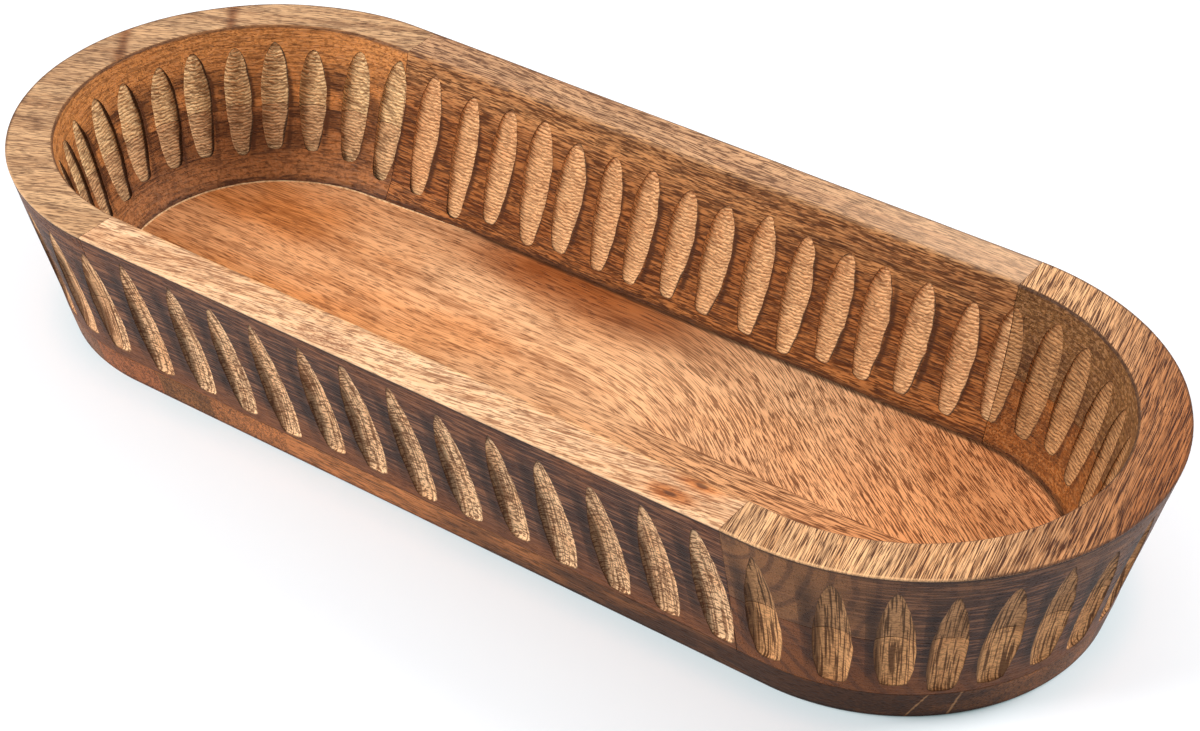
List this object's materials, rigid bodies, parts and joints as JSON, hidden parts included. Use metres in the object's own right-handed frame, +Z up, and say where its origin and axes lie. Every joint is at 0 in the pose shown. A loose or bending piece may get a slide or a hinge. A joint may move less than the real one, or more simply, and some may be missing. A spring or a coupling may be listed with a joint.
{
  "type": "carved wooden bowl",
  "caption": "Long shallow wooden bowl with half-round ends, flat floor and leaning walls carved with upright gouge cuts inside and out.",
  "frame": {"origin": "middle of the bowl's footprint, on the surface that it rests on", "axes": "+X along the bowl towards the right end, +Z up to the rim, -Y is the front"},
  "size_m": [0.406, 0.164, 0.064],
  "materials": {
    "rail_wood": "waxed, rim and cuts bare tan, flats burnt dark brown",
    "end_wood": "waxed, rim and cuts tan to red brown, flats burnt dark brown",
    "base_wood": "waxed floor, orange to tan, with fine dark pores"
  },
  "bodies": {
    "root": {"front_rail": "rail_wood", "back_rail": "rail_wood", "left_end_upper_board": "end_wood", "left_end_lower_board": "end_wood", "right_end_upper_board": "end_wood", "right_end_lower_board": "end_wood", "base_back_board": "base_wood", "base_front_board": "base_wood", "base_front_block_1": "base_wood", "base_front_block_2": "base_wood", "base_front_block_3": "base_wood", "base_front_block_4": "base_wood"}
  },
  "joints": []
}
